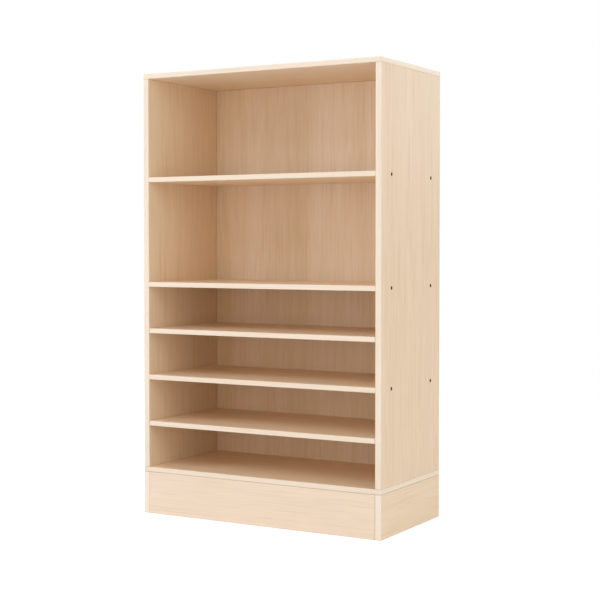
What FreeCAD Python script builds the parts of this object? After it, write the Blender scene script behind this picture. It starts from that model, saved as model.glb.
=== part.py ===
import FreeCAD, Part
import math
import os

# Open shelving cabinet on a closed plinth, in millimetres.
# Laminated boards with plastic edge banding: two tall compartments stand over four low ones.
# Three shelves are screwed through the sides, two lie loose on pins and draw out to the front.
# +X is right for someone who faces the open front, +Y is to the back, +Z is up.
# The origin is on the floor, under the middle of the cabinet.

# Carcass: the sides and the plinth are of a thicker board than the top, the bottom and the shelves
cabinet_width = 820.0
cabinet_depth = 400.0
plinth_height = 128.5
side_board = 18.0
level_board = 15.0
low_opening = 128.5
tall_opening = 308.0
top_opening = 303.0

# Edge banding: its thickness, and the radius scraped on its outer edges, which is at most
# the given share of the thickness
band = 2.0
band_round = 1.5
band_round_share = 0.8

# Loose shelves: play to each side panel and to the back panel
loose_side_gap = 1.0
loose_back_gap = 0.5

# Back panel in its grooves: the setback runs from the rear edge of the sides to its rear face,
# the cover is the board left behind a groove
back_thickness = 3.0
back_setback = 17.0
groove_cover = 8.0
groove_clearance = 0.2
groove_end_gap = 1.0

# Drilling line of screws and pins, from the front and rear edges, and clearance round hardware
drill_inset = 67.0
hole_clearance = 0.1
hole_end_gap = 0.5

# Connecting screws: the rim is how far the head stands out beyond the shank
screw_length = 50.0
screw_diameter = 6.4
screw_head_rim = 1.6
screw_head_edge = 1.0
screw_head_cone = 2.0
screw_head_recess = 0.8
screw_tip = 4.0
screw_tip_diameter = 2.5
hex_key = 4.0
hex_depth = 2.5

# Dowels: the cover is the board left beyond a dowel that stands in a board's face
dowel_length = 30.0
dowel_diameter = 8.0
dowel_cover = 6.0
dowel_chamfer = 1.0
dowels_per_joint = 2

# Shelf pins: the flat is the height of the seat over the pin's axis
pin_diameter = 5.0
pin_cover = 9.0
pin_collar_diameter = 8.0
pin_collar_thickness = 1.0
pin_seat_diameter = 6.5
pin_seat_length = 8.0
pin_flat = 2.0

# Nails through the back panel into the fixed shelves
nail_length = 20.0
nail_diameter = 1.6
nail_head_diameter = 5.0
nail_head_thickness = 0.8
nails_per_shelf = 4

# Steel angle brackets inside the plinth: the margin runs from a leg's end to its hole
bracket_leg = 28.0
bracket_width = 20.0
bracket_sheet = 2.0
bracket_bend = 2.0
bracket_corner = 4.0
bracket_hole_margin = 10.0
brackets_per_rail = 2

# Bracket screws: the cover is the board left beyond the tip
bracket_screw_diameter = 3.5
bracket_screw_cover = 4.0
bracket_screw_tip = 3.0
bracket_screw_head_diameter = 7.0
bracket_screw_head_height = 2.2
bracket_screw_head_crown = 3.0

# How each shelf is held and the clear height below it, from the bottom panel upwards
FIXED = "fixed"
LOOSE = "loose"
SHELVES = (
    ("lower_loose_shelf", LOOSE, low_opening),
    ("lower_shelf", FIXED, low_opening),
    ("upper_loose_shelf", LOOSE, low_opening),
    ("middle_shelf", FIXED, low_opening),
    ("upper_shelf", FIXED, tall_opening),
)
ALL_EDGES = ("front", "back", "left", "right")

# Planes that the boards share
outer = cabinet_width / 2
inner = outer - side_board
front = -cabinet_depth / 2
rear = cabinet_depth / 2
back_rear = rear - back_setback
back_front = back_rear - back_thickness
bottom_top = plinth_height + level_board
side_groove = side_board - groove_cover
level_groove = level_board - groove_cover
screw_lines = (front + drill_inset, rear - drill_inset)

vector = FreeCAD.Vector
UP = vector(0, 0, 1)
DOWN = vector(0, 0, -1)
RIGHT = vector(1, 0, 0)
LEFT = vector(-1, 0, 0)
BACK = vector(0, 1, 0)
FRONT = vector(0, -1, 0)

nodes = {}
boards = {}
holes = {}


def box(x, y, z):
    """Block between two limits on each axis."""
    return Part.makeBox(x[1] - x[0], y[1] - y[0], z[1] - z[0], vector(x[0], y[0], z[0]))


def turned(profile, start, direction):
    """Turn (distance along the axis, radius) points into a solid about a line from start."""
    points = [vector(along, radius, 0) for along, radius in profile]
    face = Part.Face(Part.makePolygon(points + points[:1]))
    solid = face.revolve(vector(0, 0, 0), RIGHT, 360)
    solid.Placement = FreeCAD.Placement(start, FreeCAD.Rotation(RIGHT, direction))
    return solid


def rod(radius, length, start, direction):
    """Plain round bar or hole from start."""
    return Part.makeCylinder(radius, length, start, direction)


def spread(first, last, count):
    """Places that share out the stretch between two ends evenly, the ends left out."""
    step = (last - first) / (count + 1)
    return [first + step * (place + 1) for place in range(count)]


def add(name, *solids):
    """Add solids to a node, which is made if it is new."""
    nodes.setdefault(name, []).extend(solids)


def drill(tool, *names):
    """Note a hole or groove that is cut in each of the named boards."""
    for name in names:
        holes.setdefault(name, []).append(tool)


def edge_band(strip, outward, free_ends):
    """Round the outer edges of a strip, along its length and, if they are free, at its ends."""
    outer_face = max(strip.Faces, key=lambda face: face.CenterOfMass.dot(outward))
    width = min(edge.Length for edge in outer_face.Edges)
    ends = [edge for edge in outer_face.Edges if math.isclose(edge.Length, width)]
    rounded = [
        edge for edge in outer_face.Edges
        if free_ends or not any(edge.isSame(end) for end in ends)
    ]
    return strip.makeFillet(min(band_round, band_round_share * band), rounded)


def banded_board(name, x, y, z, banded):
    """Make a board of the given outer size: bands on the named edges and the board inside them."""
    ends_banded = "left" in banded
    core_x = (x[0] + band * ("left" in banded), x[1] - band * ("right" in banded))
    core_y = (y[0] + band * ("front" in banded), y[1] - band * ("back" in banded))
    strips = {
        "front": (x, (y[0], core_y[0]), FRONT, ends_banded),
        "back": (x, (core_y[1], y[1]), BACK, ends_banded),
        "left": ((x[0], core_x[0]), core_y, LEFT, False),
        "right": ((core_x[1], x[1]), core_y, RIGHT, False),
    }
    for edge in banded:
        strip_x, strip_y, outward, free_ends = strips[edge]
        strip = box(strip_x, strip_y, z)
        add(f"{name}_{edge}_band", edge_band(strip, outward, free_ends))
    boards[name] = box(core_x, core_y, z)


def connecting_screw(node, start, direction, *names):
    """Screw two boards together: a recessed hexagon-socket screw and its stepped hole."""
    shank = screw_diameter / 2
    head = shank + screw_head_rim
    top = screw_head_recess
    edge = top + screw_head_edge
    neck = edge + screw_head_cone
    end = top + screw_length
    profile = [
        (top, 0), (top, head), (edge, head), (neck, shank),
        (end - screw_tip, shank), (end, screw_tip_diameter / 2), (end, 0),
    ]
    bore = [
        (0, 0), (0, head + hole_clearance), (edge, head + hole_clearance),
        (neck, shank + hole_clearance), (end + hole_end_gap, shank + hole_clearance),
        (end + hole_end_gap, 0),
    ]
    corner = hex_key / math.sqrt(3)
    turns = [math.radians(60 * side) for side in range(7)]
    outline = [vector(0, corner * math.cos(turn), corner * math.sin(turn)) for turn in turns]
    socket = Part.Face(Part.makePolygon(outline)).extrude(vector(hex_depth, 0, 0))
    socket.Placement = FreeCAD.Placement(
        start + direction * top, FreeCAD.Rotation(RIGHT, direction)
    )
    add(node, turned(profile, start, direction).cut(socket))
    drill(turned(bore, start, direction), *names)


def dowel(node, face_point, into_face, thickness, *names):
    """Plug a dowel into the face of a board so thick, and into the end of the one that stands on it."""
    radius = dowel_diameter / 2
    end = dowel_length
    profile = [
        (0, 0), (0, radius - dowel_chamfer), (dowel_chamfer, radius),
        (end - dowel_chamfer, radius), (end, radius - dowel_chamfer), (end, 0),
    ]
    start = face_point + into_face * (thickness - dowel_cover)
    add(node, turned(profile, start, into_face * -1))
    bore_start = start + into_face * hole_end_gap
    bore = rod(radius + hole_clearance, end + 2 * hole_end_gap, bore_start, into_face * -1)
    drill(bore, *names)


def shelf_pin(node, side_name, seat_point, inward):
    """Push a pin into a side: plain shank, collar on the side's face, seat with a flat top."""
    insert = side_board - pin_cover
    collar = insert + pin_collar_thickness
    end = collar + pin_seat_length
    shank = pin_diameter / 2
    profile = [
        (0, 0), (0, shank), (insert, shank), (insert, pin_collar_diameter / 2),
        (collar, pin_collar_diameter / 2), (collar, pin_seat_diameter / 2),
        (end, pin_seat_diameter / 2), (end, 0),
    ]
    axis_point = seat_point + DOWN * pin_flat
    start = axis_point - inward * insert
    reach = pin_collar_diameter + pin_seat_length
    above = box(
        sorted((seat_point.x, seat_point.x + inward.x * reach)),
        (seat_point.y - reach, seat_point.y + reach),
        (seat_point.z, seat_point.z + reach),
    )
    add(node, turned(profile, start, inward).cut(above))
    bore_start = start - inward * hole_end_gap
    drill(rod(shank + hole_clearance, insert + hole_end_gap, bore_start, inward), side_name)


def nail(node, start, direction, *names):
    """Drive a flat-headed nail: start is where the head's underside lies."""
    shank = nail_diameter / 2
    profile = [
        (-nail_head_thickness, 0), (-nail_head_thickness, nail_head_diameter / 2),
        (0, nail_head_diameter / 2), (0, shank), (nail_length - nail_diameter, shank),
        (nail_length, 0),
    ]
    add(node, turned(profile, start, direction))
    drill(rod(shank + hole_clearance, nail_length + hole_end_gap, start, direction), *names)


def bracket_screw(start, direction, board_name):
    """Fix a bracket's leg: a pan-head screw whose head lies on the steel at start."""
    shank = bracket_screw_diameter / 2
    head = bracket_screw_head_diameter / 2
    end = bracket_sheet + level_board - bracket_screw_cover
    profile = [
        (-bracket_screw_head_height, 0),
        (-bracket_screw_head_height, bracket_screw_head_crown / 2),
        (-bracket_screw_head_height / 2, head), (0, head), (0, shank),
        (end - bracket_screw_tip, shank), (end, 0),
    ]
    add("plinth_bracket_screws", turned(profile, start, direction))
    drill(rod(shank + hole_clearance, end + hole_end_gap, start, direction), board_name)


def plinth_bracket(corner, away, along, plinth_name):
    """Fix a plinth board under the bottom panel: a bent steel angle, screwed to both."""
    sheet = bracket_sheet
    leg = bracket_leg
    bend_outer = bracket_bend + sheet
    side = along * (-bracket_width / 2)

    def point(out, below):
        return corner + side + away * out + DOWN * below

    def bend(radius, clockwise):
        ends = [(bend_outer, bend_outer - radius), (bend_outer - radius, bend_outer)]
        middle = bend_outer - radius * math.sqrt(0.5)
        first, last = ends if clockwise else ends[::-1]
        return Part.Arc(point(*first), point(middle, middle), point(*last)).toShape()

    def run(*places):
        return Part.makePolygon([point(*place) for place in places]).Edges

    outline = (
        run((leg, 0), (bend_outer, 0)) + [bend(bend_outer, True)]
        + run((0, bend_outer), (0, leg), (sheet, leg), (sheet, bend_outer))
        + [bend(bracket_bend, False)]
        + run((bend_outer, sheet), (leg, sheet), (leg, 0))
    )
    plate = Part.Face(Part.Wire(outline)).extrude(along * bracket_width)
    corners = [edge for edge in plate.Edges if math.isclose(edge.Length, sheet)]
    plate = plate.makeFillet(bracket_corner, corners)
    hole = leg - bracket_hole_margin
    upper = corner + away * hole + DOWN * sheet
    lower = corner + DOWN * hole + away * sheet
    for start, direction, name in ((upper, UP, "bottom_panel"), (lower, away * -1, plinth_name)):
        bracket_screw(start, direction, name)
        plate = plate.cut(
            rod(bracket_screw_diameter / 2 + hole_clearance, sheet, start, direction)
        )
    add("plinth_brackets", plate)


def shelf_undersides():
    """Height of each shelf's underside, and of the top panel's."""
    heights = {}
    level = bottom_top
    for name, _, opening in SHELVES:
        heights[name] = level + opening
        level = heights[name] + level_board
    return heights, level + top_opening


def add_carcass(top_low):
    """Top, bottom and sides, screwed and dowelled, with the grooves for the back panel."""
    width = (-outer, outer)
    depth = (front, rear)
    height = (bottom_top, top_low)
    banded_board("top_panel", width, depth, (top_low, top_low + level_board), ALL_EDGES)
    banded_board("bottom_panel", width, depth, (plinth_height, bottom_top), ALL_EDGES)
    banded_board("left_side", (-outer, -inner), depth, height, ("front", "back"))
    banded_board("right_side", (inner, outer), depth, height, ("front", "back"))
    center = (outer + inner) / 2
    for side_name, middle in (("left_side", -center), ("right_side", center)):
        for line in screw_lines:
            top_start = vector(middle, line, top_low + level_board)
            connecting_screw("top_panel_screws", top_start, DOWN, "top_panel", side_name)
            bottom_start = vector(middle, line, plinth_height)
            connecting_screw("bottom_panel_screws", bottom_start, UP, "bottom_panel", side_name)
        for line in spread(*screw_lines, dowels_per_joint):
            top_face = vector(middle, line, top_low)
            dowel("top_panel_dowels", top_face, UP, level_board, "top_panel", side_name)
            bottom_face = vector(middle, line, bottom_top)
            dowel("bottom_panel_dowels", bottom_face, DOWN, level_board, "bottom_panel", side_name)


def add_back(top_low):
    """Back panel, with its edges in grooves of the sides, top and bottom."""
    side_tongue = side_groove - groove_end_gap
    level_tongue = level_groove - groove_end_gap
    panel_x = (-inner - side_tongue, inner + side_tongue)
    panel_z = (bottom_top - level_tongue, top_low + level_tongue)
    boards["back_panel"] = box(panel_x, (back_front, back_rear), panel_z)
    groove = box(
        (-inner - side_groove, inner + side_groove),
        (back_front - groove_clearance, back_rear + groove_clearance),
        (bottom_top - level_groove, top_low + level_groove),
    )
    drill(groove, "top_panel", "bottom_panel", "left_side", "right_side")


def add_fixed_shelf(name, underside):
    """Shelf that is screwed through both sides, with the back panel nailed to it."""
    shelf_z = (underside, underside + level_board)
    banded_board(name, (-inner, inner), (front, back_front), shelf_z, ("front",))
    middle = underside + level_board / 2
    for line in screw_lines:
        left_start = vector(-outer, line, middle)
        connecting_screw("left_shelf_screws", left_start, RIGHT, "left_side", name)
        right_start = vector(outer, line, middle)
        connecting_screw("right_shelf_screws", right_start, LEFT, "right_side", name)
    for place in spread(-inner, inner, nails_per_shelf):
        start = vector(place, back_rear, middle)
        nail("back_panel_nails", start, FRONT, "back_panel", name)


def add_loose_shelf(name, underside):
    """Shelf that lies on four pins and draws out to the front."""
    half = inner - loose_side_gap
    depth = (front, back_front - loose_back_gap)
    banded_board(name, (-half, half), depth, (underside, underside + level_board), ALL_EDGES)
    for line in screw_lines:
        shelf_pin(f"{name}_pins", "left_side", vector(-inner, line, underside), RIGHT)
        shelf_pin(f"{name}_pins", "right_side", vector(inner, line, underside), LEFT)


def add_plinth():
    """Box plinth: rails between the sides, dowelled, and held up by the brackets."""
    height = (0, plinth_height)
    banded_board("plinth_left", (-outer, -inner), (front, rear), height, ("front", "back"))
    banded_board("plinth_right", (inner, outer), (front, rear), height, ("front", "back"))
    boards["plinth_front"] = box((-inner, inner), (front, front + side_board), height)
    boards["plinth_back"] = box((-inner, inner), (rear - side_board, rear), height)
    rails = (("plinth_front", front + side_board / 2), ("plinth_back", rear - side_board / 2))
    for rail_name, middle in rails:
        for level in spread(*height, dowels_per_joint):
            left_face = vector(-inner, middle, level)
            dowel("plinth_dowels", left_face, LEFT, side_board, "plinth_left", rail_name)
            right_face = vector(inner, middle, level)
            dowel("plinth_dowels", right_face, RIGHT, side_board, "plinth_right", rail_name)
    for place in spread(-inner, inner, brackets_per_rail):
        front_corner = vector(place, front + side_board, plinth_height)
        plinth_bracket(front_corner, BACK, RIGHT, "plinth_front")
        rear_corner = vector(place, rear - side_board, plinth_height)
        plinth_bracket(rear_corner, FRONT, RIGHT, "plinth_back")
    plinth_bracket(vector(-inner, 0, plinth_height), RIGHT, BACK, "plinth_left")
    plinth_bracket(vector(inner, 0, plinth_height), LEFT, BACK, "plinth_right")


def main():
    """Build every node and write one file for each."""
    undersides, top_low = shelf_undersides()
    add_carcass(top_low)
    add_back(top_low)
    for name, held, _ in SHELVES:
        if held == FIXED:
            add_fixed_shelf(name, undersides[name])
        else:
            add_loose_shelf(name, undersides[name])
    add_plinth()
    for name, solid in boards.items():
        add(name, solid.cut(holes[name]) if name in holes else solid)
    os.makedirs("parts", exist_ok=True)
    for name, solids in nodes.items():
        shape = Part.makeCompound(solids) if len(solids) > 1 else solids[0]
        shape.exportStep(os.path.join("parts", f"{name}.step"))


main()
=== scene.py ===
"""Looks of an open shelving cabinet: birch-print boards, edge bands, hardware, studio and camera."""

import logging
import math
from dataclasses import dataclass
from enum import Enum

import bmesh
import bpy
from mathutils import Euler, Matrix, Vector


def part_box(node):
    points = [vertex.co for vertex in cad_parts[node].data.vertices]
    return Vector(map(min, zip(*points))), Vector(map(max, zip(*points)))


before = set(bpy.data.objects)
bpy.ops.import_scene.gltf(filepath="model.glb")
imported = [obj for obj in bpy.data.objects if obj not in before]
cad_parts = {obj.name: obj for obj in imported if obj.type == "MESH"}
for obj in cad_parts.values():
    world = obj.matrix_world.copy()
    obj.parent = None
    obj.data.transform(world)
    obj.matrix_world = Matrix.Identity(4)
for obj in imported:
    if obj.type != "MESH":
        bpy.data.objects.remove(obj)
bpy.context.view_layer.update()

MM = 0.001
WHITE = "#ffffff"
LAMP_WHITE = "#f6faff"
# Steps on X, Y and Z from one part of a pattern to the next, far enough apart that no two match.
PATTERN_STEP = (3.7, 5.3, 7.1)
FIXED_SHELVES = ("upper_shelf", "middle_shelf", "lower_shelf")
log = logging.getLogger("cabinet")


class Axis(Enum):
    """Direction in the cabinet's frame."""

    X = 0
    Y = 1
    Z = 2

    def spacing(self, along_mm: float, across_mm: float) -> tuple[float, ...]:
        """Features per metre on X, Y and Z.

        Args:
            along_mm: length of a feature in this direction.
            across_mm: its width in the other two directions.

        Returns:
            Scale for a Mapping node on Object coordinates.
        """
        return tuple(1 / ((along_mm if axis is self else across_mm) * MM) for axis in Axis)


class Slot(Enum):
    """Material slot of the record."""

    LAMINATE = "laminate"
    EDGE_BAND = "edge_band"
    HARDBOARD = "hardboard"
    DARK_STEEL = "dark_steel"
    ZINC_STEEL = "zinc_steel"
    DOWEL_WOOD = "dowel_wood"


def linear(colour: str) -> tuple[float, ...]:
    """Turn an sRGB hex colour into linear red, green, blue and alpha.

    Args:
        colour: six hex digits after a hash sign.

    Returns:
        Linear components with an alpha of 1.
    """
    shares = [int(colour[place:place + 2], 16) / 255 for place in (1, 3, 5)]
    # The numbers are those of the sRGB standard.
    parts = [s / 12.92 if s <= 0.04045 else ((s + 0.055) / 1.055) ** 2.4 for s in shares]
    return (*parts, 1.0)


def add_node(
    tree: bpy.types.NodeTree, kind: str, inputs: dict[str | int, object] | None = None, **settings: object,
) -> bpy.types.Node:
    """Add a node with its settings, values and links.

    Args:
        tree: node tree that gets the node.
        kind: node type, such as ShaderNodeMix.
        inputs: value or output socket for each input, by name or number.
        settings: properties of the node.

    Returns:
        The new node.
    """
    node = tree.nodes.new(kind)
    for name, value in settings.items():
        setattr(node, name, value)
    for key, value in (inputs or {}).items():
        if isinstance(value, bpy.types.NodeSocket):
            tree.links.new(value, node.inputs[key])
        else:
            node.inputs[key].default_value = value
    return node


def new_material(name: str) -> tuple[bpy.types.Material, bpy.types.NodeTree]:
    """Make an empty node material.

    Args:
        name: name of the real material.

    Returns:
        The material and its node tree, with no nodes in it.
    """
    material = bpy.data.materials.new(name)
    material.use_nodes = True
    material.node_tree.nodes.clear()
    return material, material.node_tree


def dress(node: str, material: bpy.types.Material) -> None:
    """Give a CAD node its finish.

    Args:
        node: name of the CAD node.
        material: finish for all of its faces.
    """
    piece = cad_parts[node]
    for place in piece.material_slots:
        place.material = material
    log.info("%s: %s", node, material.name)


@dataclass(frozen=True)
class GrainLayer:
    """One scale of streaks in a printed wood grain."""

    length_mm: float
    width_mm: float
    detail: float
    weight: float = 1.0

    def add(
        self, tree: bpy.types.NodeTree, place: bpy.types.NodeSocket, grain: Axis, stretch: float,
    ) -> bpy.types.NodeSocket:
        """Add the streaks.

        Args:
            tree: node tree of the material.
            place: socket with Object coordinates.
            grain: direction that the streaks run in.
            stretch: which part of the pattern is used, so that no two boards match.

        Returns:
            Socket with values around 0.5.
        """
        mapped = add_node(tree, "ShaderNodeMapping", {
            "Vector": place,
            "Location": tuple(stretch * step for step in PATTERN_STEP),
            "Scale": grain.spacing(self.length_mm, self.width_mm),
        })
        noise = add_node(tree, "ShaderNodeTexNoise", {
            "Vector": mapped.outputs["Vector"], "Scale": 1.0, "Detail": self.detail,
        })
        return noise.outputs["Fac"]


@dataclass(frozen=True)
class BirchPrint:
    """Printed birch: cloudy figure, narrow streaks, fine fibres and a few darker veins."""

    pale: str
    tan: str
    vein: str
    figure: GrainLayer = GrainLayer(1100, 110, 2, 0.3)
    streaks: GrainLayer = GrainLayer(330, 18, 4, 0.4)
    # Real fibres are finer than 1 mm. They are drawn 1.6 to 4 mm wide, so that they show.
    fibres: GrainLayer = GrainLayer(70, 3.2, 2, 0.3)
    veins: GrainLayer = GrainLayer(320, 5, 2)
    vein_from: float = 0.52
    vein_full: float = 0.76
    wander: GrainLayer = GrainLayer(260, 120, 0)
    wander_mm: float = 9
    spread: float = 0.14
    # The wander and the veins use other parts of the pattern than the same board's streaks.
    wander_part: float = 11
    vein_part: float = 23

    def add(
        self, tree: bpy.types.NodeTree, place: bpy.types.NodeSocket, grain: Axis, stretch: float,
    ) -> tuple[bpy.types.NodeSocket, bpy.types.NodeSocket]:
        """Add the print.

        Args:
            tree: node tree of the material.
            place: socket with Object coordinates.
            grain: direction of the grain.
            stretch: which part of the pattern is used.

        Returns:
            Colour socket, and a socket with the fibres' height.
        """
        drift = add_node(tree, "ShaderNodeMath", {
            0: self.wander.add(tree, place, grain, stretch + self.wander_part), 1: self.wander_mm * MM,
        }, operation="MULTIPLY")
        bent = add_node(tree, "ShaderNodeVectorMath", {
            0: place, 1: drift.outputs["Value"],
        }, operation="ADD")
        # The fibres come last, so the height that the loop leaves is theirs.
        total = 0.0
        for layer in (self.figure, self.streaks, self.fibres):
            height = layer.add(tree, bent.outputs["Vector"], grain, stretch)
            share = add_node(tree, "ShaderNodeMath", {
                0: height, 1: layer.weight, 2: total,
            }, operation="MULTIPLY_ADD")
            total = share.outputs["Value"]
        tone = add_node(tree, "ShaderNodeMapRange", {
            "Value": total, "From Min": 0.5 - self.spread, "From Max": 0.5 + self.spread,
        })
        ground = add_node(tree, "ShaderNodeMix", {
            "Factor": tone.outputs["Result"], "A": linear(self.tan), "B": linear(self.pale),
        }, data_type="RGBA")
        dark = add_node(tree, "ShaderNodeMapRange", {
            "Value": self.veins.add(tree, bent.outputs["Vector"], grain, stretch + self.vein_part),
            "From Min": self.vein_from, "From Max": self.vein_full,
        })
        colour = add_node(tree, "ShaderNodeMix", {
            "Factor": dark.outputs["Result"], "A": ground.outputs["Result"], "B": linear(self.vein),
        }, data_type="RGBA")
        return colour.outputs["Result"], height


@dataclass(frozen=True)
class JointLineAndShade:
    """Fine brown line where a piece ends on another board or goes into a groove: paper edge and painted
    shade of the joint.
    """

    colour: str = "#c9b29a"
    fade_mm: float = 1.4
    # How deep the ends lie in grooves on X, Y and Z. The line is full where the piece comes out of them.
    sunk_mm: tuple[float, float, float] = (0, 0, 0)

    def add(
        self, tree: bpy.types.NodeTree, place: bpy.types.NodeSocket, colour: bpy.types.NodeSocket,
        node: str, ends: tuple[Axis, ...],
    ) -> bpy.types.NodeSocket:
        """Draw the line along both ends of a piece.

        Args:
            tree: node tree of the material.
            place: socket with Object coordinates.
            colour: socket with the colour away from the line.
            node: CAD node, whose box says where it ends.
            ends: directions in which it ends at a joint.

        Returns:
            Colour socket with the line in it.
        """
        low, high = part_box(node)
        parts = add_node(tree, "ShaderNodeSeparateXYZ", {"Vector": place})
        for axis in ends:
            middle = (low[axis.value] + high[axis.value]) / 2
            half = (high[axis.value] - low[axis.value]) / 2 - self.sunk_mm[axis.value] * MM
            offset = add_node(tree, "ShaderNodeMath", {
                0: parts.outputs[axis.value], 1: middle,
            }, operation="SUBTRACT")
            reach = add_node(tree, "ShaderNodeMath", {0: offset.outputs["Value"]}, operation="ABSOLUTE")
            near = add_node(tree, "ShaderNodeMapRange", {
                "Value": reach.outputs["Value"], "From Min": half - self.fade_mm * MM, "From Max": half,
            })
            mixed = add_node(tree, "ShaderNodeMix", {
                "Factor": near.outputs["Result"], "A": colour, "B": linear(self.colour),
            }, data_type="RGBA")
            colour = mixed.outputs["Result"]
        return colour


@dataclass(frozen=True)
class BoreRimAndShade:
    """Dark brown rim round a screw hole: bare board where the drill broke the paper, and painted shade of
    the hole.
    """

    # Darker than the board's chips, for the painted shade.
    colour: str = "#4f2c0a"
    bore_mm: float = 9.8
    width_mm: float = 1.2

    def add(
        self, tree: bpy.types.NodeTree, place: bpy.types.NodeSocket, colour: bpy.types.NodeSocket,
        drilled: Axis, centres: tuple[Vector, ...],
    ) -> bpy.types.NodeSocket:
        """Draw the rims of holes that lie in four like quarters of the plan.

        Args:
            tree: node tree of the material.
            place: socket with Object coordinates.
            colour: socket with the colour away from the holes.
            drilled: direction of the holes.
            centres: a point on the axis of each hole in the quarter with positive X and Y.

        Returns:
            Colour socket with the rims in it.
        """
        across = Vector([0.0 if axis is drilled else 1.0 for axis in Axis])
        quarter = add_node(tree, "ShaderNodeVectorMath", {0: place}, operation="ABSOLUTE")
        flat = add_node(tree, "ShaderNodeVectorMath", {
            0: quarter.outputs["Vector"], 1: across,
        }, operation="MULTIPLY")
        radius = self.bore_mm / 2
        for centre in centres:
            gap = add_node(tree, "ShaderNodeVectorMath", {
                0: flat.outputs["Vector"], 1: centre * across,
            }, operation="DISTANCE")
            near = add_node(tree, "ShaderNodeMapRange", {
                "Value": gap.outputs["Value"],
                "From Min": radius * MM, "From Max": (radius + self.width_mm) * MM,
                "To Min": 1.0, "To Max": 0.0,
            })
            mixed = add_node(tree, "ShaderNodeMix", {
                "Factor": near.outputs["Result"], "A": colour, "B": linear(self.colour),
            }, data_type="RGBA")
            colour = mixed.outputs["Result"]
        return colour


@dataclass(frozen=True)
class Cut:
    """How a board was cut: its grain, laminated faces, part of the print, joints and screw holes."""

    node: str
    grain: Axis
    faces: Axis
    stretch: float
    joints: tuple[Axis, ...] = ()
    bores: tuple[Vector, ...] = ()


@dataclass(frozen=True)
class LaminatedBoard:
    """Particle board with a face of melamine paper on both sides."""

    # Melamine paper pressed under a grained steel plate: a satin sheen that is duller in the hollows of a
    # faint emboss along the grain, and coarse matt chips wherever the board is cut or drilled.
    birch: BirchPrint
    joint: JointLineAndShade = JointLineAndShade()
    rim: BoreRimAndShade = BoreRimAndShade()
    chip_pale: str = "#c9a87b"
    chip_dark: str = "#94704a"
    chip_mm: float = 2.2
    chip_roughness: float = 0.9
    smooth: float = 0.37
    dull: float = 0.47
    ridge: float = 0.7
    hollow: float = 0.3
    emboss_mm: float = 0.03
    emboss_strength: float = 0.25
    # A surface counts as a face, not an edge, where its normal has more than this along the thickness.
    face_limit: float = 0.7

    def material(self, cut: Cut) -> bpy.types.Material:
        """Make a board's material.

        Args:
            cut: the board and how it was cut.

        Returns:
            Material with laminated faces and raw edges.
        """
        material, tree = new_material(f"Melamine birch on particle board, {cut.node.replace('_', ' ')}")
        texture = add_node(tree, "ShaderNodeTexCoord")
        place = texture.outputs["Object"]
        colour, height = self.birch.add(tree, place, cut.grain, cut.stretch)
        rimmed = self.rim.add(tree, place, colour, cut.faces, cut.bores)
        printed = self.joint.add(tree, place, rimmed, cut.node, cut.joints)
        chips = add_node(tree, "ShaderNodeTexVoronoi", {
            "Vector": place, "Scale": 1 / (self.chip_mm * MM),
        })
        chip_tone = add_node(tree, "ShaderNodeSeparateColor", {"Color": chips.outputs["Color"]})
        raw = add_node(tree, "ShaderNodeMix", {
            "Factor": chip_tone.outputs["Red"], "A": linear(self.chip_dark), "B": linear(self.chip_pale),
        }, data_type="RGBA")
        sides = add_node(tree, "ShaderNodeSeparateXYZ", {"Vector": texture.outputs["Normal"]})
        facing = add_node(tree, "ShaderNodeMath", {0: sides.outputs[cut.faces.value]}, operation="ABSOLUTE")
        face = add_node(tree, "ShaderNodeMath", {
            0: facing.outputs["Value"], 1: self.face_limit,
        }, operation="GREATER_THAN")
        base = add_node(tree, "ShaderNodeMix", {
            "Factor": face.outputs["Value"], "A": raw.outputs["Result"], "B": printed,
        }, data_type="RGBA")
        sheen = add_node(tree, "ShaderNodeMapRange", {
            "Value": height, "From Min": self.hollow, "From Max": self.ridge,
            "To Min": self.dull, "To Max": self.smooth,
        })
        rough = add_node(tree, "ShaderNodeMix", {
            "Factor": face.outputs["Value"], "A": self.chip_roughness, "B": sheen.outputs["Result"],
        })
        bump = add_node(tree, "ShaderNodeBump", {
            "Height": height, "Strength": self.emboss_strength, "Distance": self.emboss_mm * MM,
        })
        shader = add_node(tree, "ShaderNodeBsdfPrincipled", {
            "Base Color": base.outputs["Result"], "Roughness": rough.outputs["Result"],
            "Normal": bump.outputs["Normal"],
        })
        add_node(tree, "ShaderNodeOutputMaterial", {"Surface": shader.outputs["BSDF"]})
        return material


SHELF_BOARD = LaminatedBoard(BirchPrint("#f7ddbb", "#efd2b1", "#e5c7a4"))


def strip_print(pale: str, tan: str, vein: str) -> BirchPrint:
    """Tone of an edge band, which is nearly plain.

    Args:
        pale: colour of most of the strip.
        tan: colour of its darker clouds.
        vein: colour of its faint lines.

    Returns:
        Print with low contrast and straight lines.
    """
    return BirchPrint(
        pale, tan, vein, figure=GrainLayer(700, 60, 1, 0.5), streaks=GrainLayer(300, 5, 1, 0.3),
        fibres=GrainLayer(90, 1.6, 0, 0.2), wander_mm=1,
    )


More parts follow.
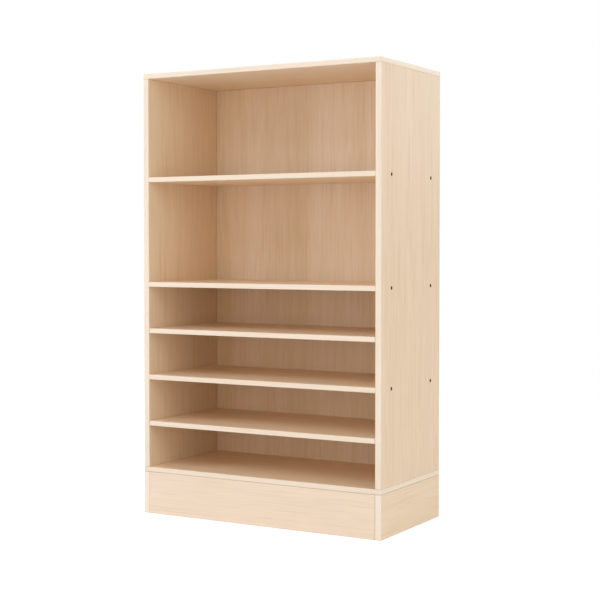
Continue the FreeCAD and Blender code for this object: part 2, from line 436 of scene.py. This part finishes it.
@dataclass(frozen=True)
class EdgeBanding:
    """Extruded ABS strip, glued to a board's edge and scraped round."""

    # Through-dyed plastic, paler than the boards: nearly plain, with a soft satin line along its rounded
    # edges and faint lines drawn along the strip.
    birch: BirchPrint = strip_print("#efe1cc", "#e9dbc5", "#e6d6c0")
    # Painted shade at the band's ends, where it meets another board.
    joint: JointLineAndShade = JointLineAndShade()
    roughness: float = 0.4
    line_mm: float = 0.02
    line_strength: float = 0.2

    def material(self, node: str, stretch: float, joints: tuple[Axis, ...]) -> bpy.types.Material:
        """Make a band's material.

        Args:
            node: CAD node of the band.
            stretch: which part of the pattern is used.
            joints: directions in which it ends at another board.

        Returns:
            The material, with its lines along the strip.
        """
        material, tree = new_material(f"ABS edge banding, {node.replace('_', ' ')}")
        texture = add_node(tree, "ShaderNodeTexCoord")
        place = texture.outputs["Object"]
        low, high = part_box(node)
        run = max(Axis, key=lambda axis: high[axis.value] - low[axis.value])
        colour, height = self.birch.add(tree, place, run, stretch)
        bump = add_node(tree, "ShaderNodeBump", {
            "Height": height, "Strength": self.line_strength, "Distance": self.line_mm * MM,
        })
        shader = add_node(tree, "ShaderNodeBsdfPrincipled", {
            "Base Color": self.joint.add(tree, place, colour, node, joints), "Roughness": self.roughness,
            "Normal": bump.outputs["Normal"],
        })
        add_node(tree, "ShaderNodeOutputMaterial", {"Surface": shader.outputs["BSDF"]})
        return material


@dataclass(frozen=True)
class FoiledHardboard:
    """Thin hardboard with a printed paper foil on its front."""

    # Paper foil on pressed wood fibres: flatter and less satin than melamine in front, plain brown felt
    # with darker flecks behind.
    birch: BirchPrint = BirchPrint(
        pale="#eddfcd", tan="#dcc9a7", vein="#d7c2a6",
        figure=GrainLayer(1300, 150, 1, 0.4), streaks=GrainLayer(500, 20, 4, 0.33),
        fibres=GrainLayer(90, 4, 2, 0.27), veins=GrainLayer(300, 6, 2),
        vein_from=0.56, vein_full=0.82, spread=0.15,
    )
    grain: Axis = Axis.Z
    stretch: float = 8
    # Painted shade along the panel where it comes out of its grooves in the sides, top and bottom.
    groove: JointLineAndShade = JointLineAndShade(colour="#c2a078", fade_mm=2.6, sunk_mm=(9, 0, 6))
    fibre_pale: str = "#ae8a65"
    fibre_dark: str = "#93704c"
    fleck: str = "#7a5937"
    cloud_mm: float = 60
    cloud_detail: float = 7
    # Single fibres are finer than 1 mm. They are drawn in tufts of 8 mm, so that they show.
    flecks: GrainLayer = GrainLayer(8, 8, 4)
    fleck_from: float = 0.54
    fleck_full: float = 0.78
    roughness: float = 0.5
    raw_roughness: float = 0.8
    relief_mm: float = 0.1
    relief_strength: float = 0.3
    face_limit: float = 0.7

    def material(self) -> bpy.types.Material:
        """Make the panel's material, foil on the faces that look to the front and raw fibres elsewhere."""
        material, tree = new_material("Paper foil on hardboard")
        texture = add_node(tree, "ShaderNodeTexCoord")
        place = texture.outputs["Object"]
        print_tone, height = self.birch.add(tree, place, self.grain, self.stretch)
        colour = self.groove.add(tree, place, print_tone, "back_panel", (Axis.X, Axis.Z))
        felt = add_node(tree, "ShaderNodeTexNoise", {
            "Vector": place, "Scale": 1 / (self.cloud_mm * MM), "Detail": self.cloud_detail,
        })
        ground = add_node(tree, "ShaderNodeMix", {
            "Factor": felt.outputs["Fac"], "A": linear(self.fibre_dark), "B": linear(self.fibre_pale),
        }, data_type="RGBA")
        tufts = self.flecks.add(tree, place, self.grain, self.stretch)
        share = add_node(tree, "ShaderNodeMapRange", {
            "Value": tufts, "From Min": self.fleck_from, "From Max": self.fleck_full,
        })
        raw = add_node(tree, "ShaderNodeMix", {
            "Factor": share.outputs["Result"], "A": ground.outputs["Result"], "B": linear(self.fleck),
        }, data_type="RGBA")
        sides = add_node(tree, "ShaderNodeSeparateXYZ", {"Vector": texture.outputs["Normal"]})
        front = add_node(tree, "ShaderNodeMath", {
            0: sides.outputs["Y"], 1: -self.face_limit,
        }, operation="LESS_THAN")
        base = add_node(tree, "ShaderNodeMix", {
            "Factor": front.outputs["Value"], "A": raw.outputs["Result"], "B": colour,
        }, data_type="RGBA")
        rough = add_node(tree, "ShaderNodeMix", {
            "Factor": front.outputs["Value"], "A": self.raw_roughness, "B": self.roughness,
        })
        relief = add_node(tree, "ShaderNodeMix", {
            "Factor": front.outputs["Value"], "A": tufts, "B": height,
        })
        bump = add_node(tree, "ShaderNodeBump", {
            "Height": relief.outputs["Result"], "Strength": self.relief_strength,
            "Distance": self.relief_mm * MM,
        })
        shader = add_node(tree, "ShaderNodeBsdfPrincipled", {
            "Base Color": base.outputs["Result"], "Roughness": rough.outputs["Result"],
            "Normal": bump.outputs["Normal"],
        })
        add_node(tree, "ShaderNodeOutputMaterial", {"Surface": shader.outputs["BSDF"]})
        return material


@dataclass(frozen=True)
class BlackenedSteel:
    """Screws that were blackened in a hot bath."""

    # A thin oxide skin on turned steel: dark brown to black, with a dull gleam that is never white, even
    # where a rim catches the light.
    pale: str = "#46290f"
    dark: str = "#2a1707"
    rim: str = "#8a6a48"
    roughness: float = 0.55
    mottle_mm: float = 1.2
    mottle_detail: float = 2

    def material(self) -> bpy.types.Material:
        """Make the screws' material, mottled as the bath leaves it."""
        material, tree = new_material("Blackened steel")
        texture = add_node(tree, "ShaderNodeTexCoord")
        mottle = add_node(tree, "ShaderNodeTexNoise", {
            "Vector": texture.outputs["Object"], "Scale": 1 / (self.mottle_mm * MM),
            "Detail": self.mottle_detail,
        })
        colour = add_node(tree, "ShaderNodeMix", {
            "Factor": mottle.outputs["Fac"], "A": linear(self.dark), "B": linear(self.pale),
        }, data_type="RGBA")
        shader = add_node(tree, "ShaderNodeBsdfPrincipled", {
            "Base Color": colour.outputs["Result"], "Metallic": 1.0, "Roughness": self.roughness,
            "Specular Tint": linear(self.rim),
        })
        add_node(tree, "ShaderNodeOutputMaterial", {"Surface": shader.outputs["BSDF"]})
        return material


@dataclass(frozen=True)
class ZincPlate:
    """Bright zinc on pressed and turned steel."""

    # Small spangles that differ a little in tone and polish, so the metal glitters softly.
    pale: str = "#d6d7da"
    dark: str = "#b9bbc1"
    spangle_mm: float = 1.5
    smooth: float = 0.28
    dull: float = 0.45

    def material(self) -> bpy.types.Material:
        """Make the plating's material."""
        material, tree = new_material("Zinc-plated steel")
        texture = add_node(tree, "ShaderNodeTexCoord")
        spangles = add_node(tree, "ShaderNodeTexVoronoi", {
            "Vector": texture.outputs["Object"], "Scale": 1 / (self.spangle_mm * MM),
        })
        tone = add_node(tree, "ShaderNodeSeparateColor", {"Color": spangles.outputs["Color"]})
        colour = add_node(tree, "ShaderNodeMix", {
            "Factor": tone.outputs["Red"], "A": linear(self.dark), "B": linear(self.pale),
        }, data_type="RGBA")
        rough = add_node(tree, "ShaderNodeMapRange", {
            "Value": tone.outputs["Green"], "To Min": self.smooth, "To Max": self.dull,
        })
        shader = add_node(tree, "ShaderNodeBsdfPrincipled", {
            "Base Color": colour.outputs["Result"], "Metallic": 1.0, "Roughness": rough.outputs["Result"],
        })
        add_node(tree, "ShaderNodeOutputMaterial", {"Surface": shader.outputs["BSDF"]})
        return material


@dataclass(frozen=True)
class BeechDowel:
    """Turned beech, unfinished."""

    # Pinkish brown, dry wood with the short dark flecks of beech and no gloss.
    ground: str = "#d3b089"
    fleck: str = "#a97f56"
    flecks: GrainLayer = GrainLayer(2.5, 0.5, 1)
    fleck_from: float = 0.52
    fleck_full: float = 0.7
    roughness: float = 0.75

    def material(self, run: Axis) -> bpy.types.Material:
        """Make the material of dowels that lie one way.

        Args:
            run: direction of the dowels.

        Returns:
            The material, with flecks along the dowels.
        """
        material, tree = new_material(f"Beech along {run.name}")
        texture = add_node(tree, "ShaderNodeTexCoord")
        share = add_node(tree, "ShaderNodeMapRange", {
            "Value": self.flecks.add(tree, texture.outputs["Object"], run, 0),
            "From Min": self.fleck_from, "From Max": self.fleck_full,
        })
        colour = add_node(tree, "ShaderNodeMix", {
            "Factor": share.outputs["Result"], "A": linear(self.ground), "B": linear(self.fleck),
        }, data_type="RGBA")
        shader = add_node(tree, "ShaderNodeBsdfPrincipled", {
            "Base Color": colour.outputs["Result"], "Roughness": self.roughness,
        })
        add_node(tree, "ShaderNodeOutputMaterial", {"Surface": shader.outputs["BSDF"]})
        return material


@dataclass
class SubAssembly:
    """Boards that belong together, with the bands on their edges."""

    banding: EdgeBanding = EdgeBanding()
    # The strips on a board's short ends are paler and warmer than the rest: painted light on the end
    # strips.
    painted_light_end_banding: EdgeBanding = EdgeBanding(strip_print("#f9e3c8", "#f3ddc1", "#f0d8bc"))
    band_step: float = 0.25

    def dress_board(self, cut: Cut, board: LaminatedBoard, band_joints: tuple[Axis, ...] = ()) -> None:
        """Give a board its laminate and its bands their plastic.

        Args:
            cut: the board and how it was cut.
            board: its finish.
            band_joints: directions in which its bands end at another board.
        """
        dress(cut.node, board.material(cut))
        bands = [n for n in sorted(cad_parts) if n.startswith(f"{cut.node}_") and n.endswith("_band")]
        for index, node in enumerate(bands):
            at_end = node.endswith(("_left_band", "_right_band"))
            banding = self.painted_light_end_banding if at_end else self.banding
            stretch = cut.stretch + index * self.band_step
            dress(node, banding.material(node, stretch, band_joints))


@dataclass
class Carcass(SubAssembly):
    """Top, bottom and two sides, with the screws and dowels that join them."""

    # The boards' prints differ a little in tone; the left side's is a little less red than the right's.
    left: LaminatedBoard = LaminatedBoard(BirchPrint("#edd4b2", "#e5c9a6", "#debf9b"))
    right: LaminatedBoard = LaminatedBoard(BirchPrint("#f1d5b2", "#e9caa6", "#e2bf9b"))
    # The top's print is paler than the other boards': painted light, which brightens its underside.
    top: LaminatedBoard = LaminatedBoard(BirchPrint("#f8e3c7", "#f0dabd", "#e9d1b3"))
    bottom: LaminatedBoard = SHELF_BOARD
    screws: BlackenedSteel = BlackenedSteel()
    dowels: BeechDowel = BeechDowel()
    held_shelves: tuple[str, ...] = FIXED_SHELVES
    screw_head_mm: float = 9.6

    def screw_place(self, node: str) -> Vector:
        """Place of the screw of a group that is farthest along X and Y, half a head inside its box."""
        return Vector(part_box(node)[1]) - Vector([self.screw_head_mm * MM / 2] * 3)

    def dress(self) -> None:
        """Give the boards, bands, screws and dowels their materials."""
        corner = (self.screw_place("top_panel_screws"),)
        self.dress_board(Cut("top_panel", Axis.X, Axis.Z, 1, bores=corner), self.top)
        self.dress_board(Cut("bottom_panel", Axis.X, Axis.Z, 2, bores=corner), self.bottom)
        edge = self.screw_place("right_shelf_screws")
        rows = [sum(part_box(shelf), Vector()) / 2 for shelf in self.held_shelves]
        bores = tuple(Vector((edge.x, edge.y, row.z)) for row in rows)
        self.dress_board(Cut("left_side", Axis.Z, Axis.X, 8, (Axis.Z,), bores), self.left, (Axis.Z,))
        self.dress_board(Cut("right_side", Axis.Z, Axis.X, 9, (Axis.Z,), bores), self.right, (Axis.Z,))
        steel = self.screws.material()
        for node in ("top_panel_screws", "bottom_panel_screws", "left_shelf_screws", "right_shelf_screws"):
            dress(node, steel)
        beech = self.dowels.material(Axis.Z)
        for node in ("top_panel_dowels", "bottom_panel_dowels"):
            dress(node, beech)


@dataclass
class BackPanel:
    """Back panel in its grooves, with the nails that hold it to the fixed shelves."""

    panel: FoiledHardboard = FoiledHardboard()
    nails: ZincPlate = ZincPlate()

    def dress(self) -> None:
        """Give the panel and the nails their materials."""
        dress("back_panel", self.panel.material())
        dress("back_panel_nails", self.nails.material())


@dataclass
class Shelves(SubAssembly):
    """Three fixed shelves, and two loose ones that lie on pins and draw out."""

    fixed: tuple[str, ...] = FIXED_SHELVES
    loose: tuple[str, ...] = ("upper_loose_shelf", "lower_loose_shelf")
    board: LaminatedBoard = SHELF_BOARD
    pins: ZincPlate = ZincPlate()

    def dress(self) -> None:
        """Give the shelves, their bands and the pins their materials."""
        for stretch, node in enumerate(self.fixed, start=3):
            self.dress_board(Cut(node, Axis.X, Axis.Z, stretch, (Axis.X,)), self.board)
        steel = self.pins.material()
        for stretch, node in enumerate(self.loose, start=6):
            self.dress_board(Cut(node, Axis.X, Axis.Z, stretch), self.board)
            dress(f"{node}_pins", steel)


@dataclass
class Plinth(SubAssembly):
    """Closed box under the carcass, with its dowels and the brackets that hold it there."""

    banding: EdgeBanding = EdgeBanding(strip_print("#f6e9d6", "#f0e3cf", "#eddeca"))
    # The front board's print is lighter and less yellow than the other plinth boards': painted light on the
    # face that looks to the front.
    front: LaminatedBoard = LaminatedBoard(BirchPrint("#f0dec6", "#e9d6be", "#e5d2b9"))
    board: LaminatedBoard = LaminatedBoard(BirchPrint("#f3d8b5", "#ecceaa", "#e7c8a3"))
    dowels: BeechDowel = BeechDowel()
    brackets: ZincPlate = ZincPlate()

    def dress(self) -> None:
        """Give the boards, bands, dowels, brackets and screws their materials."""
        self.dress_board(Cut("plinth_front", Axis.X, Axis.Y, 10, (Axis.X, Axis.Z)), self.front)
        self.dress_board(Cut("plinth_back", Axis.X, Axis.Y, 11, (Axis.X, Axis.Z)), self.board)
        for stretch, node in enumerate(("plinth_left", "plinth_right"), start=12):
            self.dress_board(Cut(node, Axis.Y, Axis.X, stretch, (Axis.Z,)), self.board, (Axis.Z,))
        dress("plinth_dowels", self.dowels.material(Axis.X))
        steel = self.brackets.material()
        for node in ("plinth_brackets", "plinth_bracket_screws"):
            dress(node, steel)


@dataclass(frozen=True)
class Lamp:
    """Square soft box on a sphere round the cabinet, aimed at its middle."""

    name: str
    azimuth_deg: float
    elevation_deg: float
    power_w: float
    tint: str = LAMP_WHITE
    distance_m: float = 4.5
    side_m: float = 1.8
    aim_height_m: float = 0.7

    def add(self) -> None:
        """Put the lamp in the scene."""
        light = bpy.data.lights.new(self.name, "AREA")
        light.shape = "SQUARE"
        light.size = self.side_m
        light.energy = self.power_w
        light.color = linear(self.tint)[:3]
        lamp = bpy.data.objects.new(self.name, light)
        turn = Euler((math.radians(90 - self.elevation_deg), 0, math.radians(self.azimuth_deg)))
        lamp.rotation_euler = turn
        away = turn.to_matrix() @ Vector((0, 0, self.distance_m))
        lamp.location = away + Vector((0, 0, self.aim_height_m))
        bpy.context.scene.collection.objects.link(lamp)


@dataclass
class Studio:
    """White floor and surroundings with even, soft light."""

    floor_half_m: float = 3.0
    floor_drop_mm: float = 0.2
    # The floor lights the cabinet as white paper does. To the camera it is a darker paper, which takes the
    # shadow, with a glow that makes it white where no shadow falls.
    floor_white: float = 0.8
    floor_shown: float = 0.35
    floor_glow: float = 0.75
    world_strength: float = 0.42
    lamps: tuple[Lamp, ...] = (
        Lamp("overhead_softbox", 0, 88, 51),
        Lamp("front_high_softbox", -15, 40, 31),
        Lamp("front_middle_softbox", 2, 25, 9),
        # Warm, for the red-brown depth of the low compartments.
        Lamp("front_low_softbox", 0, 0, 28, tint="#ffc298"),
        Lamp("front_right_softbox", 30, 5, 12),
        Lamp("front_left_softbox", -55, 8, 48),
        Lamp("right_high_softbox", 55, 25, 13),
        Lamp("right_softbox", 78, 6, 52),
        Lamp("left_rear_softbox", -115, 15, 39),
        Lamp("rear_softbox", 170, 20, 45),
    )

    def shown_rays(self, tree: bpy.types.NodeTree) -> bpy.types.NodeSocket:
        """Tell rays that show the surroundings from rays that light the object.

        Args:
            tree: node tree of the floor or the world.

        Returns:
            Socket that is 1 for camera rays and for rays by way of metal or glass.
        """
        rays = add_node(tree, "ShaderNodeLightPath")
        mirrored = add_node(tree, "ShaderNodeMath", {
            0: rays.outputs["Is Glossy Ray"], 1: rays.outputs["Is Transmission Ray"],
        }, operation="MAXIMUM")
        seen = add_node(tree, "ShaderNodeMath", {
            0: rays.outputs["Is Camera Ray"], 1: mirrored.outputs["Value"],
        }, operation="MAXIMUM")
        return seen.outputs["Value"]

    def add_floor(self) -> None:
        """Lay the floor, which shows as white with a light shadow."""
        mesh = bpy.data.meshes.new("floor")
        sheet = bmesh.new()
        bmesh.ops.create_grid(sheet, x_segments=1, y_segments=1, size=self.floor_half_m)
        bmesh.ops.translate(sheet, verts=sheet.verts, vec=(0, 0, -self.floor_drop_mm * MM))
        sheet.to_mesh(mesh)
        sheet.free()
        floor = bpy.data.objects.new("floor", mesh)
        bpy.context.scene.collection.objects.link(floor)
        material, tree = new_material("White studio floor")
        paper = add_node(tree, "ShaderNodeBsdfDiffuse", {"Color": (*[self.floor_white] * 3, 1)})
        shade = add_node(tree, "ShaderNodeBsdfDiffuse", {"Color": (*[self.floor_shown] * 3, 1)})
        glow = add_node(tree, "ShaderNodeEmission", {"Strength": self.floor_glow})
        bright = add_node(tree, "ShaderNodeAddShader", {
            0: shade.outputs["BSDF"], 1: glow.outputs["Emission"],
        })
        mixed = add_node(tree, "ShaderNodeMixShader", {
            0: self.shown_rays(tree), 1: paper.outputs["BSDF"], 2: bright.outputs["Shader"],
        })
        add_node(tree, "ShaderNodeOutputMaterial", {"Surface": mixed.outputs["Shader"]})
        mesh.materials.append(material)

    def add_world(self) -> None:
        """Light the object evenly from all round, and show plain white to the camera."""
        world = bpy.data.worlds.new("White surroundings")
        world.use_nodes = True
        tree = world.node_tree
        tree.nodes.clear()
        light = add_node(tree, "ShaderNodeBackground", {
            "Color": linear(LAMP_WHITE), "Strength": self.world_strength,
        })
        shown = add_node(tree, "ShaderNodeBackground", {"Color": linear(WHITE), "Strength": 1.0})
        mixed = add_node(tree, "ShaderNodeMixShader", {
            0: self.shown_rays(tree), 1: light.outputs["Background"], 2: shown.outputs["Background"],
        })
        add_node(tree, "ShaderNodeOutputWorld", {"Surface": mixed.outputs["Shader"]})
        bpy.context.scene.world = world

    def build(self) -> None:
        """Put up the floor, the surroundings and the lamps."""
        self.add_floor()
        self.add_world()
        for lamp in self.lamps:
            lamp.add()
        bpy.context.scene.view_settings.view_transform = "Standard"


@dataclass(frozen=True)
class PhotoCamera:
    """Camera at the photograph's place, to the right of the front and tilted slightly down."""

    position_m: tuple[float, float, float] = (2.1077, -3.5948, 0.8356)
    turn_deg: float = 29.993
    tilt_down_deg: float = 1.616
    focal_length_mm: float = 81.27
    sensor_mm: float = 36.0
    shift_y: float = -0.03

    def build(self) -> None:
        """Put the camera in the scene."""
        data = bpy.data.cameras.new("photo_camera")
        data.lens = self.focal_length_mm
        data.sensor_width = self.sensor_mm
        data.shift_y = self.shift_y
        camera = bpy.data.objects.new("photo_camera", data)
        camera.location = self.position_m
        level = math.radians(90 - self.tilt_down_deg)
        camera.rotation_euler = Euler((level, 0, math.radians(self.turn_deg)))
        bpy.context.scene.collection.objects.link(camera)
        bpy.context.scene.camera = camera


def main() -> None:
    """Dress the cabinet from the carcass to the plinth, then set up the studio and the camera."""
    logging.basicConfig(level=logging.INFO, format="%(name)s: %(message)s")
    Carcass().dress()
    BackPanel().dress()
    Shelves().dress()
    Plinth().dress()
    Studio().build()
    PhotoCamera().build()


if __name__ == "__main__":
    main()
